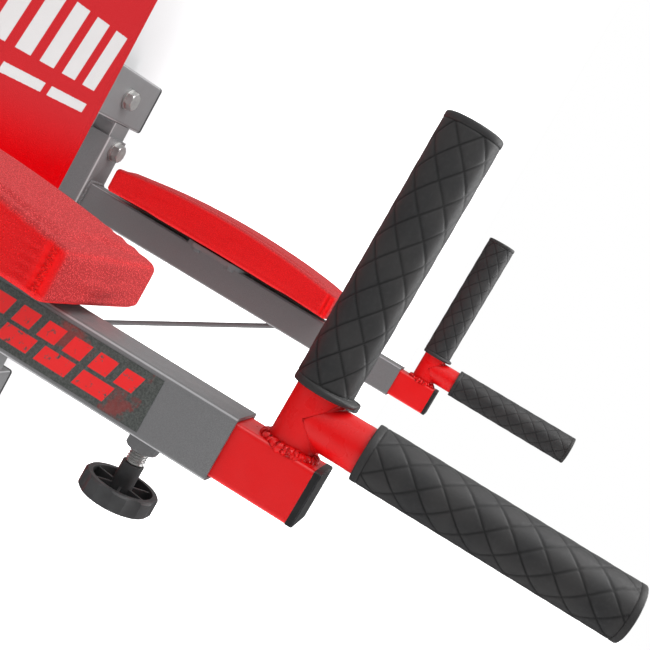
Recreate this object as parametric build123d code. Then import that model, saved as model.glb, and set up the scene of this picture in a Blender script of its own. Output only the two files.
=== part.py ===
from build123d import *
import os

# Wall-mounted dip and knee-raise station.
# Row frame, millimetres: the wall is the plane Y = 0 and the station stands out of it towards -Y,
# X = 0 is the middle plane, Z is up, and the origin is the centre of the four wall bolts.
# "left" is -X, which is the left hand of somebody facing the wall.

os.makedirs("parts", exist_ok=True)

# --- wall frame ---------------------------------------------------------------------------
beam_height = 60.0            # rectangular tube, 60 x 40 x 2.5
beam_depth = 40.0
beam_wall = 2.5
beam_corner = 4.0
beam_length = 735.0           # tube only, the end caps add their heads
beam_spacing = 392.0          # centre of the top beam to centre of the bottom beam
cap_head = 5.0                # visible thickness of a beam end cap
cap_plug_depth = 14.0
cap_plug_gap = 0.1
cap_chamfer = 0.6
wall_bolt_spacing = 600.0     # along the beams

post_width = 40.0             # upright tube between the beams, 40 x 25 x 2
post_depth = 25.0
post_wall = 2.0
post_corner = 3.0

# --- arm brackets -------------------------------------------------------------------------
arm_spacing = 646.0           # centre to centre
arm_height = 75.0             # arm centre line above the origin
bracket_sheet = 3.8           # channel folded from sheet, open towards the wall
bracket_width = 48.0
bracket_depth = 37.8
bracket_top = 149.0
bracket_bottom = -140.0
bracket_bend = 5.0
bracket_bolt_inset = 13.0     # bolt centre from the end of the bracket

# --- arms ---------------------------------------------------------------------------------
arm_size = 35.0               # square tube, 35 x 35 x 2
arm_wall = 2.0
arm_corner = 3.0
arm_reach = 462.0             # wall to the open mouth of the arm
brace_diameter = 6.0          # round bar below each arm
brace_top_y = -310.0
brace_foot_z = -92.0
decal_start = 40.0            # printed label, measured back from the mouth
decal_length = 270.0
decal_height = 28.6
decal_sheet = 0.25

# --- forearm pads -------------------------------------------------------------------------
pad_length = 286.0
pad_width = 112.0
pad_centre_y = -224.0
pad_skirt_z = 98.0            # lower edge at the two ends
pad_skirt_rise = 3.5          # the lower edge arches this much at mid length
pad_end_height = 27.0
pad_crown = 12.0              # extra height of the top at mid length
pad_edge_round = 5.0
pad_corner_round = 5.0
pad_plate_width = 96.0
pad_plate_length = 67.0
pad_plate_sheet = 5.0
pad_plate_y = -220.0
pad_plate_chamfer = 10.0
pad_board_width = 92.0
pad_board_length = 262.0
pad_board_thick = 10.0
pad_screw_dx = 36.0
pad_screw_dy = 22.0
pad_screw_radius = 3.0
pad_screw_bite = 9.0

# --- backrest -----------------------------------------------------------------------------
backrest_width = 290.0
backrest_bottom = -225.0
backrest_top = 325.0
backrest_front = 95.0         # front face to wall
backrest_board_thick = 15.0
backrest_board_margin = 12.0  # upholstery beyond the board on every side
backrest_skirt_gap = 1.0
backrest_edge_round = 6.0
backrest_corner_round = 22.0
backrest_bolt_dx = 70.0
access_hole_radius = 10.0

# --- sliding handles ----------------------------------------------------------------------
insert_size = 30.0            # square tube, 30 x 30 x 2
insert_wall = 2.0
insert_corner = 2.5
insert_out = 43.6             # standing out of the arm's mouth
insert_inside = 200.0
insert_cap_head = 3.9
insert_cap_plug = 12.0
insert_cap_chamfer = 0.6
insert_cap_corner = 1.2
insert_plug_gap = 0.1
insert_plug_wall = 2.0
insert_plug_corner = 1.0
insert_bore_corner = 0.6
pipe_radius = 12.5            # round pipe, 25 x 2
pipe_wall = 2.0
upright_from_mouth = 25.3     # upright pipe's axis in front of the mouth
upright_top = 188.0           # above the arm's centre line
forward_pipe_height = 32.6    # above the arm's centre line
forward_pipe_end = 202.0      # in front of the mouth
grip_radius = 15.6
grip_end_wall = 3.0
grip_end_round = 1.5
upright_grip_low = 46.7
upright_grip_high = 191.1
forward_grip_near = 58.3
forward_grip_far = 204.5
grip_band = 4.0               # plain band at the open end of a grip
grip_lip_reach = 3.4          # the band's one-sided lip
grip_lip_inset = 0.6          # the lip's disc lies this far inside the sleeve at its back

# --- clamp screws -------------------------------------------------------------------------
clamp_from_mouth = 38.6
screw_radius = 5.0            # M10
running_gap = 0.05
body_gap = 0.3
weld_nut_flats = 15.6
weld_nut_height = 8.0
knob_hub_top = -33.4          # below the arm's centre line
knob_rim_top = -44.7
knob_height = 10.0
knob_radius = 19.8
knob_hub_radius = 5.7
knob_floor = 2.4
knob_rim_wall = 2.4
knob_lobes = 8
knob_scallop_depth = 1.1
scallop_radius = 14.0
knob_ribs = 6
knob_rib_thick = 1.2
knob_rib_drop = 1.2           # the ribs stop this far below the rim's top
knob_edge_chamfer = 1.0
shank_radius = 3.8            # reduced end of the screw inside the knob
screw_chamfer = 1.2

# --- fasteners ----------------------------------------------------------------------------
m12_radius = 6.0
m12_plain_radius = 5.43       # rolled-thread blank, between the head and the wall plane
m12_flats = 19.0
m12_head = 7.5
m12_hole = 6.5
m12_washer_radius = 12.0
m12_washer = 2.5
m12_nut = 6.0
wall_stud_out = 60.0          # free shank behind the wall plane
m8_radius = 4.0
m8_flats = 13.0
m8_head = 5.3
m8_hole = 4.5
tee_flange_radius = 11.0
tee_flange = 1.5
tee_barrel_radius = 5.2
m6_flats = 10.0
m6_head = 4.0
m6_hole = 3.4
hex_corners = 3 ** 0.5        # across flats over corner radius
hex_chamfer = 1.2
stud_chamfer = 1.5

# --- derived positions --------------------------------------------------------------------
beam_front = -beam_depth
arm_mouth = -arm_reach
arm_half = arm_size / 2
arm_bottom = arm_height - arm_half
arm_top = arm_height + arm_half
post_rear = beam_front + post_depth
bracket_front = beam_front - bracket_sheet
beam_levels = (beam_spacing / 2, -beam_spacing / 2)
bracket_bolt_levels = (bracket_top - bracket_bolt_inset, bracket_bottom + bracket_bolt_inset)
left_arm = -arm_spacing / 2
sides = ("left", "right")


def box_between(low, high):
    """Axis-aligned block between two opposite corners."""
    size = [b - a for a, b in zip(low, high)]
    centre = [(a + b) / 2 for a, b in zip(low, high)]
    return Pos(*centre) * Box(*size)


def facing_y(x, y, z):
    """Work plane at a point, with its normal towards the wall."""
    return Plane(origin=(x, y, z), x_dir=(1, 0, 0), z_dir=(0, 1, 0))


def facing_x(x, y, z):
    """Work plane at a point, with its normal towards +X."""
    return Plane(origin=(x, y, z), x_dir=(0, 1, 0), z_dir=(1, 0, 0))


def bar_y(x, z, y_start, y_end, width, height, radius):
    """Solid bar of rounded rectangular section along Y."""
    outline = facing_y(x, y_start, z) * RectangleRounded(width, height, radius)
    return extrude(outline, amount=y_end - y_start)


def tube_y(x, z, y_start, y_end, size, wall, radius):
    """Square tube along Y."""
    outer = bar_y(x, z, y_start, y_end, size, size, radius)
    inner = bar_y(x, z, y_start, y_end, size - 2 * wall, size - 2 * wall, radius - wall * 0.8)
    return outer - inner


def round_y(x, z, y_start, y_end, radius):
    """Cylinder along Y."""
    return extrude(facing_y(x, y_start, z) * Circle(radius), amount=y_end - y_start)


def round_z(x, y, z_start, z_end, radius):
    """Cylinder along Z."""
    return extrude(Plane.XY.offset(z_start) * Pos(x, y) * Circle(radius), amount=z_end - z_start)


def hex_y(x, z, y_start, y_end, flats):
    """Hexagonal prism along Y with a corner at the top."""
    outline = RegularPolygon(radius=flats / 2, side_count=6, major_radius=False, rotation=30)
    return extrude(facing_y(x, y_start, z) * outline, amount=y_end - y_start)


def hex_z(x, y, z_start, z_end, flats):
    """Hexagonal prism along Z."""
    outline = RegularPolygon(radius=flats / 2, side_count=6, major_radius=False)
    return extrude(Plane.XY.offset(z_start) * Pos(x, y) * outline, amount=z_end - z_start)


def washer_y(x, z, y_start, thickness, outer, inner):
    """Flat washer with its axis along Y."""
    ring = round_y(x, z, y_start, y_start + thickness, outer)
    return ring - round_y(x, z, y_start, y_start + thickness, inner)


def chamfered_hex_head(x, z, y_outer, y_seat, flats):
    """Bolt head whose outer corners are turned off, as on a forged bolt."""
    prism = hex_y(x, z, y_outer, y_seat, flats)
    corner_radius = flats / hex_corners
    turned = round_y(x, z, y_outer, y_seat, corner_radius)
    turned = chamfer(turned.faces().sort_by(Axis.Y)[0].edges(), hex_chamfer)
    return prism & turned


def beam(level):
    """Horizontal wall beam with bolt holes, and pockets for the backrest bolts."""
    section = Plane(origin=(-beam_length / 2, -beam_depth / 2, level), x_dir=(0, 1, 0), z_dir=(1, 0, 0))
    outer = extrude(section * RectangleRounded(beam_depth, beam_height, beam_corner), amount=beam_length)
    bore_outline = RectangleRounded(
        beam_depth - 2 * beam_wall, beam_height - 2 * beam_wall, beam_corner - beam_wall
    )
    tube = outer - extrude(section * bore_outline, amount=beam_length)
    for x in (-wall_bolt_spacing / 2, wall_bolt_spacing / 2):
        tube -= round_y(x, level, beam_front - 1, 1, m12_hole)
    for x in (-backrest_bolt_dx, backrest_bolt_dx):
        tube -= round_y(x, level, beam_front - 1, beam_front + beam_wall + 1, m8_hole)
        tube -= round_y(x, level, -beam_wall - 1, 1, access_hole_radius)
    return tube


def beam_end_cap(end, level):
    """Moulded plug: a flat head over the tube's end and a hollow skirt inside it."""
    x_seat = end * beam_length / 2
    head = box_between(
        (min(x_seat, x_seat + end * cap_head), -beam_depth, level - beam_height / 2),
        (max(x_seat, x_seat + end * cap_head), 0, level + beam_height / 2),
    )
    head = fillet(head.edges().filter_by(Axis.X), beam_corner)
    outer_edges = head.faces().sort_by(Axis.X)[-1 if end > 0 else 0].edges()
    head = chamfer(outer_edges, cap_chamfer)
    half_depth = beam_depth / 2 - beam_wall - cap_plug_gap
    half_height = beam_height / 2 - beam_wall - cap_plug_gap
    x_inner = x_seat - end * cap_plug_depth
    skirt = box_between(
        (min(x_seat, x_inner), -beam_depth / 2 - half_depth, level - half_height),
        (max(x_seat, x_inner), -beam_depth / 2 + half_depth, level + half_height),
    )
    skirt = fillet(skirt.edges().filter_by(Axis.X), beam_corner - beam_wall)
    skirt_wall = 2.0
    hollow = box_between(
        (min(x_seat, x_inner), -beam_depth / 2 - half_depth + skirt_wall, level - half_height + skirt_wall),
        (max(x_seat, x_inner), -beam_depth / 2 + half_depth - skirt_wall, level + half_height - skirt_wall),
    )
    return head + (skirt - hollow)


def post(x):
    """Upright tube welded between the two beams, flush with their front."""
    low = -beam_spacing / 2 + beam_height / 2
    high = beam_spacing / 2 - beam_height / 2
    middle_y = beam_front + post_depth / 2
    section = Plane(origin=(x, middle_y, low), x_dir=(1, 0, 0), z_dir=(0, 0, 1))
    outer = extrude(section * RectangleRounded(post_width, post_depth, post_corner), amount=high - low)
    bore_outline = RectangleRounded(
        post_width - 2 * post_wall, post_depth - 2 * post_wall, post_corner - post_wall
    )
    tube = outer - extrude(section * bore_outline, amount=high - low)
    for z in bracket_bolt_levels:
        tube -= round_y(x, z, beam_front - 1, post_rear + 1, m12_hole)
    return tube


def post_weld_beads(x):
    """Fillet welds along both sides of a post, at its top and its foot."""
    leg = 3.0
    beads = []
    for level_side in (1, -1):
        z_joint = level_side * (beam_spacing / 2 - beam_height / 2)
        for edge_side in (1, -1):
            x_edge = x + edge_side * post_width / 2
            triangle = Polyline(
                (x_edge, z_joint),
                (x_edge + edge_side * leg, z_joint),
                (x_edge, z_joint - level_side * leg),
                close=True,
            )
            profile = make_face(triangle)
            flat = Plane(origin=(0, beam_front + post_corner, 0), x_dir=(1, 0, 0), z_dir=(0, -1, 0))
            beads.append(extrude(flat * profile, amount=-(post_depth - 2 * post_corner)))
    return beads


def bracket(x):
    """Channel folded round the post from the front, bolted through it top and bottom."""
    rear = bracket_front + bracket_depth
    outer = box_between(
        (x - bracket_width / 2, bracket_front, bracket_bottom), (x + bracket_width / 2, rear, bracket_top)
    )
    front_edges = outer.edges().filter_by(Axis.Z).group_by(Axis.Y)[0]
    outer = fillet(front_edges, bracket_bend)
    inside_half = bracket_width / 2 - bracket_sheet
    inner = box_between(
        (x - inside_half, beam_front, bracket_bottom), (x + inside_half, rear, bracket_top)
    )
    inner_edges = inner.edges().filter_by(Axis.Z).group_by(Axis.Y)[0]
    inner = fillet(inner_edges, bracket_bend - bracket_sheet)
    channel = outer - inner
    for z in bracket_bolt_levels:
        channel -= round_y(x, z, bracket_front - 1, beam_front + 1, m12_hole)
    return channel


def bracket_bolts(x):
    """Hex bolts through the bracket and the post."""
    bolts = []
    seat = bracket_front - m12_washer
    for z in bracket_bolt_levels:
        shank = round_y(x, z, seat, post_rear + m12_nut + 3, m12_radius)
        bolts.append(chamfered_hex_head(x, z, seat - m12_head, seat, m12_flats) + shank)
    return bolts


def bracket_washers(x):
    """Washers under the bracket bolts' heads."""
    return [
        washer_y(x, z, bracket_front - m12_washer, m12_washer, m12_washer_radius, m12_hole)
        for z in bracket_bolt_levels
    ]


def bracket_nuts(x):
    """Thin nuts behind the post."""
    return [
        hex_y(x, z, post_rear, post_rear + m12_nut, m12_flats) - round_y(x, z, post_rear, 0, m12_radius)
        for z in bracket_bolt_levels
    ]


def arm_tube(x):
    """Square arm, open at its mouth, with the clamp screw's hole in its lower wall."""
    tube = tube_y(x, arm_height, arm_mouth, bracket_front, arm_size, arm_wall, arm_corner)
    hole_y = arm_mouth + clamp_from_mouth
    return tube - round_z(x, hole_y, arm_bottom - 1, arm_bottom + arm_wall + 1, screw_radius + body_gap)


def arm_weld_bead(x):
    """Fillet weld all round the arm where it meets the bracket."""
    leg = 3.0
    grown = arm_size + 2 * leg
    bead = bar_y(x, arm_height, bracket_front - leg, bracket_front, grown, grown, arm_corner + leg)
    bead = chamfer(bead.faces().sort_by(Axis.Y)[0].edges(), leg * 0.8)
    return bead - bar_y(x, arm_height, bracket_front - leg, bracket_front, arm_size, arm_size, arm_corner)


def brace_axis_plane(x, overrun):
    """Plane square to the brace's axis, set back beyond its upper end."""
    rise = brace_foot_z - arm_bottom
    run = bracket_front - brace_top_y
    length = (rise ** 2 + run ** 2) ** 0.5
    direction = (0, run / length, rise / length)
    start = (x, brace_top_y - direction[1] * overrun, arm_bottom - direction[2] * overrun)
    return Plane(origin=start, x_dir=(1, 0, 0), z_dir=direction), length + 2 * overrun


def brace_bar(x, radius):
    """Round bar along the brace's axis, longer than the brace at both ends."""
    plane, length = brace_axis_plane(x, 30.0)
    return extrude(plane * Circle(radius), amount=length)


def brace(x):
    """Round bar from the arm's underside down to the bracket, with mitred ends."""
    reach = 20.0
    space = box_between(
        (x - reach, brace_top_y - reach, brace_foot_z - reach), (x + reach, bracket_front, arm_bottom)
    )
    return brace_bar(x, brace_diameter / 2) & space


def brace_weld_beads(x):
    """Collars of weld at both ends of the brace."""
    leg = 2.2
    grown = brace_bar(x, brace_diameter / 2 + leg)
    bar = brace_bar(x, brace_diameter / 2)
    reach = 40.0
    top_slab = box_between(
        (x - reach, brace_top_y - reach, arm_bottom - leg), (x + reach, brace_top_y + reach, arm_bottom)
    )
    foot_slab = box_between(
        (x - reach, bracket_front - leg, brace_foot_z - reach),
        (x + reach, bracket_front, brace_foot_z + reach),
    )
    return [(grown & top_slab) - bar, (grown & foot_slab) - bar]


def pad_plate(x):
    """Steel plate with clipped corners, welded across the top of the arm."""
    outline = Rectangle(pad_plate_width, pad_plate_length)
    outline = chamfer(outline.vertices(), pad_plate_chamfer)
    plate = extrude(Plane.XY.offset(arm_top) * Pos(x, pad_plate_y) * outline, amount=pad_plate_sheet)
    for dx in (-pad_screw_dx, pad_screw_dx):
        for dy in (-pad_screw_dy, pad_screw_dy):
            plate -= round_z(x + dx, pad_plate_y + dy, arm_top - 1, arm_top + pad_plate_sheet + 1, m6_hole)
    return plate


def pad_plate_welds(x):
    """Fillet welds below the plate, along both flanks of the arm."""
    leg = 3.0
    length = pad_plate_length - 2 * pad_plate_chamfer
    welds = []
    for side in (1, -1):
        x_edge = x + side * arm_half
        triangle = Polyline(
            (x_edge - side * arm_corner, arm_top),
            (x_edge, arm_top - arm_corner),
            (x_edge + side * leg, arm_top),
            close=True,
        )
        flat = Plane(origin=(0, pad_plate_y + length / 2, 0), x_dir=(1, 0, 0), z_dir=(0, -1, 0))
        weld = extrude(flat * make_face(triangle), amount=length)
        arm = bar_y(x, arm_height, arm_mouth, bracket_front, arm_size, arm_size, arm_corner)
        welds.append(weld - arm)
    return welds


def pad_board(x):
    """Plywood board inside a forearm pad."""
    low = arm_top + pad_plate_sheet
    board = box_between(
        (x - pad_board_width / 2, pad_centre_y - pad_board_length / 2, low),
        (x + pad_board_width / 2, pad_centre_y + pad_board_length / 2, low + pad_board_thick),
    )
    board = fillet(board.edges().filter_by(Axis.Z), pad_corner_round)
    for dx in (-pad_screw_dx, pad_screw_dx):
        for dy in (-pad_screw_dy, pad_screw_dy):
            board -= round_z(x + dx, pad_plate_y + dy, low - 1, low + pad_screw_bite, pad_screw_radius)
    return board


def forearm_pad(x):
    """Upholstered pad, crowned along its length, wrapped round its board."""
    front = pad_centre_y - pad_length / 2
    rear = pad_centre_y + pad_length / 2
    top = pad_skirt_z + pad_end_height
    crown = (pad_centre_y, top + pad_crown)
    arch = (pad_centre_y, pad_skirt_z + pad_skirt_rise)
    outline = [
        ThreePointArc((front, top), crown, (rear, top)),
        ThreePointArc((front, pad_skirt_z), arch, (rear, pad_skirt_z)),
        Line((front, top), (front, pad_skirt_z)),
        Line((rear, top), (rear, pad_skirt_z)),
    ]
    profile = make_face(outline)
    cushion = extrude(facing_x(x - pad_width / 2, 0, 0) * profile, amount=pad_width)
    cushion = fillet(cushion.edges().filter_by(Axis.Z), pad_corner_round)
    cushion = fillet(cushion.faces().sort_by(Axis.Z)[-1].edges(), pad_edge_round)
    low = arm_top + pad_plate_sheet
    recess = box_between(
        (x - pad_board_width / 2, pad_centre_y - pad_board_length / 2, low - 1),
        (x + pad_board_width / 2, pad_centre_y + pad_board_length / 2, low + pad_board_thick),
    )
    recess = fillet(recess.edges().filter_by(Axis.Z), pad_corner_round)
    return cushion - recess


def pad_screws(x):
    """Hex screws from below, through the plate into the board."""
    screws = []
    for dx in (-pad_screw_dx, pad_screw_dx):
        for dy in (-pad_screw_dy, pad_screw_dy):
            px = x + dx
            py = pad_plate_y + dy
            head = hex_z(px, py, arm_top - m6_head, arm_top, m6_flats)
            top = arm_top + pad_plate_sheet + pad_screw_bite - 0.5
            screws.append(head + round_z(px, py, arm_top, top, pad_screw_radius))
    return screws


def arm_decal(x, outward):
    """Printed label on the outer flank of an arm."""
    start = arm_mouth + decal_start
    skin = x + outward * arm_half
    return box_between(
        (min(skin, skin + outward * decal_sheet), start, arm_height - decal_height / 2),
        (max(skin, skin + outward * decal_sheet), start + decal_length, arm_height + decal_height / 2),
    )


def backrest_board():
    """Plywood board of the backrest, drilled for its tee nuts."""
    half = backrest_width / 2 - backrest_board_margin
    board = box_between(
        (-half, beam_front - backrest_board_thick, backrest_bottom + backrest_board_margin),
        (half, beam_front, backrest_top - backrest_board_margin),
    )
    board = fillet(board.edges().filter_by(Axis.Y), backrest_corner_round - backrest_board_margin)
    for x in (-backrest_bolt_dx, backrest_bolt_dx):
        for z in beam_levels:
            board -= round_y(x, z, beam_front - backrest_board_thick, beam_front, tee_barrel_radius)
    return board


def backrest_pad():
    """Upholstery of the backrest, wrapped round the edges of its board."""
    half = backrest_width / 2
    cushion = box_between(
        (-half, -backrest_front, backrest_bottom), (half, beam_front - backrest_skirt_gap, backrest_top)
    )
    cushion = fillet(cushion.edges().filter_by(Axis.Y), backrest_corner_round)
    cushion = fillet(cushion.faces().sort_by(Axis.Y)[0].edges(), backrest_edge_round)
    inner = half - backrest_board_margin
    board_front = beam_front - backrest_board_thick
    recess = box_between(
        (-inner, board_front, backrest_bottom + backrest_board_margin),
        (inner, beam_front, backrest_top - backrest_board_margin),
    )
    recess = fillet(recess.edges().filter_by(Axis.Y), backrest_corner_round - backrest_board_margin)
    cushion -= recess
    for x in (-backrest_bolt_dx, backrest_bolt_dx):
        for z in beam_levels:
            cushion -= round_y(x, z, board_front - 3, board_front, tee_flange_radius + body_gap)
    return cushion


def backrest_bolts():
    """Hex bolts with their heads inside the beams, screwed forward into the tee nuts."""
    bolts = []
    seat = beam_front + beam_wall
    tip = beam_front - backrest_board_thick - 1
    for x in (-backrest_bolt_dx, backrest_bolt_dx):
        for z in beam_levels:
            bolts.append(hex_y(x, z, seat, seat + m8_head, m8_flats) + round_y(x, z, tip, seat, m8_radius))
    return bolts


def backrest_tee_nuts():
    """Tee nuts let into the front of the board."""
    nuts = []
    board_front = beam_front - backrest_board_thick
    for x in (-backrest_bolt_dx, backrest_bolt_dx):
        for z in beam_levels:
            flange = round_y(x, z, board_front - tee_flange, board_front, tee_flange_radius)
            barrel = round_y(x, z, board_front, beam_front - 3, tee_barrel_radius - running_gap)
            hole = round_y(x, z, board_front - tee_flange, beam_front, m8_radius + running_gap)
            nuts.append(flange + barrel - hole)
    return nuts


def wall_bolts():
    """Hex bolts through the beams: a plain shank inside, the threaded stud free behind the wall plane."""
    bolts = []
    seat = beam_front - m12_washer
    for x in (-wall_bolt_spacing / 2, wall_bolt_spacing / 2):
        for z in beam_levels:
            stud = round_y(x, z, 0, wall_stud_out, m12_radius)
            stud = chamfer(stud.faces().sort_by(Axis.Y)[-1].edges(), stud_chamfer)
            shank = round_y(x, z, seat, 0, m12_plain_radius)
            bolts.append(chamfered_hex_head(x, z, seat - m12_head, seat, m12_flats) + shank + stud)
    return bolts


def wall_washers():
    """Washers under the wall bolts' heads."""
    return [
        washer_y(x, z, beam_front - m12_washer, m12_washer, m12_washer_radius, m12_hole)
        for x in (-wall_bolt_spacing / 2, wall_bolt_spacing / 2)
        for z in beam_levels
    ]


def clamp_weld_nut(x):
    """Hex nut welded under the arm for the clamp screw."""
    y = arm_mouth + clamp_from_mouth
    nut = hex_z(x, y, arm_bottom - weld_nut_height, arm_bottom, weld_nut_flats)
    turned = round_z(x, y, arm_bottom - weld_nut_height, arm_bottom, weld_nut_flats / hex_corners)
    turned = chamfer(turned.faces().sort_by(Axis.Z)[0].edges(), hex_chamfer)
    bore = round_z(x, y, arm_bottom - weld_nut_height, arm_bottom, screw_radius + running_gap)
    return (nut & turned) - bore


def nut_weld_bead(x):
    """Weld round the top of the clamp nut."""
    y = arm_mouth + clamp_from_mouth
    height = 2.0
    reach = weld_nut_flats / 2 + 3
    ring = round_z(x, y, arm_bottom - height, arm_bottom, reach)
    ring = chamfer(ring.faces().sort_by(Axis.Z)[0].edges(), height * 0.7)
    return ring - hex_z(x, y, arm_bottom - height, arm_bottom, weld_nut_flats)


def insert_tube(x):
    """Square tube that slides in the arm."""
    front = arm_mouth - insert_out
    rear = arm_mouth + insert_inside
    return tube_y(x, arm_height, front, rear, insert_size, insert_wall, insert_corner)


def insert_cap(x):
    """Plastic plug in the front end of the sliding tube."""
    seat = arm_mouth - insert_out
    head = bar_y(x, arm_height, seat - insert_cap_head, seat, insert_size, insert_size, insert_cap_corner)
    head = chamfer(head.faces().sort_by(Axis.Y)[0].edges(), insert_cap_chamfer)
    plug_size = insert_size - 2 * insert_wall - 2 * insert_plug_gap
    plug = bar_y(x, arm_height, seat, seat + insert_cap_plug, plug_size, plug_size, insert_plug_corner)
    bore = plug_size - 2 * insert_plug_wall
    hollow = bar_y(x, arm_height, seat, seat + insert_cap_plug, bore, bore, insert_bore_corner)
    return head + (plug - hollow)


def upright_pipe(x):
    """Upright pipe standing on the sliding tube."""
    y = arm_mouth - upright_from_mouth
    low = arm_height + insert_size / 2
    high = arm_height + upright_top
    return round_z(x, y, low, high, pipe_radius) - round_z(x, y, low, high, pipe_radius - pipe_wall)


def forward_pipe(x):
    """Pipe pointing away from the wall, coped to the upright."""
    y_axis = arm_mouth - upright_from_mouth
    z = arm_height + forward_pipe_height
    end = arm_mouth - forward_pipe_end
    outer = round_y(x, z, end, y_axis, pipe_radius)
    pipe = outer - round_y(x, z, end, y_axis, pipe_radius - pipe_wall)
    low = arm_height + insert_size / 2
    return pipe - round_z(x, y_axis, low, arm_height + upright_top, pipe_radius)


def pipe_weld_bead(x):
    """Weld round the foot of the upright pipe."""
    y = arm_mouth - upright_from_mouth
    low = arm_height + insert_size / 2
    leg = 2.4
    ring = round_z(x, y, low, low + leg * 1.4, pipe_radius + leg)
    ring = chamfer(ring.faces().sort_by(Axis.Z)[-1].edges(), leg * 0.8)
    return ring - round_z(x, y, low, low + leg * 1.4, pipe_radius)


def upright_grip(x):
    """Closed rubber sleeve on the upright pipe, with a one-sided lip at its open end."""
    y = arm_mouth - upright_from_mouth
    low = arm_height + upright_grip_low
    high = arm_height + upright_grip_high
    sleeve = round_z(x, y, low, high, grip_radius)
    sleeve = fillet(sleeve.faces().sort_by(Axis.Z)[-1].edges(), grip_end_round)
    lip_shift = grip_lip_reach / 2 + grip_lip_inset
    lip_radius = grip_radius + grip_lip_reach / 2 - grip_lip_inset
    sleeve += round_z(x, y - lip_shift, low, low + grip_band, lip_radius)
    return sleeve - round_z(x, y, low, arm_height + upright_top, pipe_radius)


def forward_grip(x):
    """Closed rubber sleeve on the forward pipe."""
    z = arm_height + forward_pipe_height
    near = arm_mouth - forward_grip_near
    far = arm_mouth - forward_grip_far
    sleeve = round_y(x, z, far, near, grip_radius)
    sleeve = fillet(sleeve.faces().sort_by(Axis.Y)[0].edges(), grip_end_round)
    return sleeve - round_y(x, z, arm_mouth - forward_pipe_end, near, pipe_radius)


def clamp_screw(x):
    """Screw from below; its tip bears on the sliding tube and its reduced end sits in the knob."""
    y = arm_mouth + clamp_from_mouth
    tip = arm_height - insert_size / 2 - body_gap
    shoulder = arm_height + knob_hub_top + body_gap
    shank_end = arm_height + knob_rim_top - knob_height + knob_floor + body_gap
    thread = round_z(x, y, shoulder, tip, screw_radius)
    thread = chamfer(thread.faces().sort_by(Axis.Z)[-1].edges(), screw_chamfer)
    return thread + round_z(x, y, shank_end, shoulder, shank_radius)


def knob(x):
    """Handwheel: a scalloped rim, thin ribs and a long hub, closed below and open above."""
    y = arm_mouth + clamp_from_mouth
    rim_top = arm_height + knob_rim_top
    bottom = rim_top - knob_height
    hub_top = arm_height + knob_hub_top
    wheel = round_z(x, y, bottom, rim_top, knob_radius)
    wheel = chamfer(wheel.edges(), knob_edge_chamfer)
    scallop_centre = knob_radius + scallop_radius - knob_scallop_depth
    for place in PolarLocations(scallop_centre, knob_lobes):
        wheel -= Pos(x, y, 0) * place * round_z(0, 0, bottom - 1, rim_top + 1, scallop_radius)
    wheel -= round_z(x, y, bottom + knob_floor, rim_top, knob_radius - knob_scallop_depth - knob_rim_wall)
    hub = round_z(x, y, bottom + knob_floor / 2, hub_top, knob_hub_radius)
    wheel += hub
    rib_reach = knob_radius - knob_scallop_depth - knob_rim_wall + 0.5
    for index in range(knob_ribs):
        rib = box_between(
            (knob_hub_radius - 1, -knob_rib_thick / 2, bottom + knob_floor / 2),
            (rib_reach, knob_rib_thick / 2, rim_top - knob_rib_drop),
        )
        wheel += Pos(x, y, 0) * Rot(0, 0, index * 360 / knob_ribs + 15) * rib
    return wheel - round_z(x, y, bottom + knob_floor, hub_top, shank_radius + running_gap)


def one_solid(shape):
    """The single solid that a construction has to give."""
    solids = shape.solids()
    if len(solids) != 1:
        raise ValueError("expected one solid, got " + str(len(solids)))
    return solids[0]


def group(shapes):
    """Several separate solids of one node."""
    return Compound(children=[one_solid(shape) for shape in shapes])


def both_sides(make):
    """A list of pieces for the left arm and their mirror images for the right arm."""
    pieces = make(left_arm)
    return pieces + [mirror(piece, Plane.YZ) for piece in pieces]


nodes = {
    "top_beam": one_solid(beam(beam_levels[0])),
    "bottom_beam": one_solid(beam(beam_levels[1])),
    "beam_end_caps": group([beam_end_cap(end, level) for end in (1, -1) for level in beam_levels]),
    "post_weld_beads": group(both_sides(post_weld_beads)),
    "bracket_bolts": group(both_sides(bracket_bolts)),
    "bracket_washers": group(both_sides(bracket_washers)),
    "bracket_nuts": group(both_sides(bracket_nuts)),
    "arm_weld_beads": group(both_sides(lambda x: [arm_weld_bead(x)])),
    "brace_weld_beads": group(both_sides(brace_weld_beads)),
    "pad_plate_welds": group(both_sides(pad_plate_welds)),
    "pad_screws": group(both_sides(pad_screws)),
    "arm_decals": group(both_sides(lambda x: [arm_decal(x, -1)])),
    "backrest_pad": one_solid(backrest_pad()),
    "backrest_board": one_solid(backrest_board()),
    "backrest_bolts": group(backrest_bolts()),
    "backrest_tee_nuts": group(backrest_tee_nuts()),
    "wall_bolts": group(wall_bolts()),
    "wall_washers": group(wall_washers()),
    "clamp_weld_nuts": group(both_sides(lambda x: [clamp_weld_nut(x)])),
    "nut_weld_beads": group(both_sides(lambda x: [nut_weld_bead(x)])),
}

handed = {
    "post": post,
    "bracket": bracket,
    "arm_tube": arm_tube,
    "brace": brace,
    "pad_plate": pad_plate,
    "pad_board": pad_board,
    "forearm_pad": forearm_pad,
    "insert_tube": insert_tube,
    "insert_cap": insert_cap,
    "upright_pipe": upright_pipe,
    "forward_pipe": forward_pipe,
    "pipe_weld_bead": pipe_weld_bead,
    "upright_grip": upright_grip,
    "forward_grip": forward_grip,
    "clamp_screw": clamp_screw,
    "knob": knob,
}
for name, make in handed.items():
    left_piece = one_solid(make(left_arm))
    nodes["left_" + name] = left_piece
    nodes["right_" + name] = one_solid(mirror(left_piece, Plane.YZ))

for name, shape in nodes.items():
    export_step(shape, "parts/" + name + ".step")
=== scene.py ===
import math

import bmesh
import bpy
import numpy as np
from mathutils import Matrix, Vector
from mathutils.bvhtree import BVHTree


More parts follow.
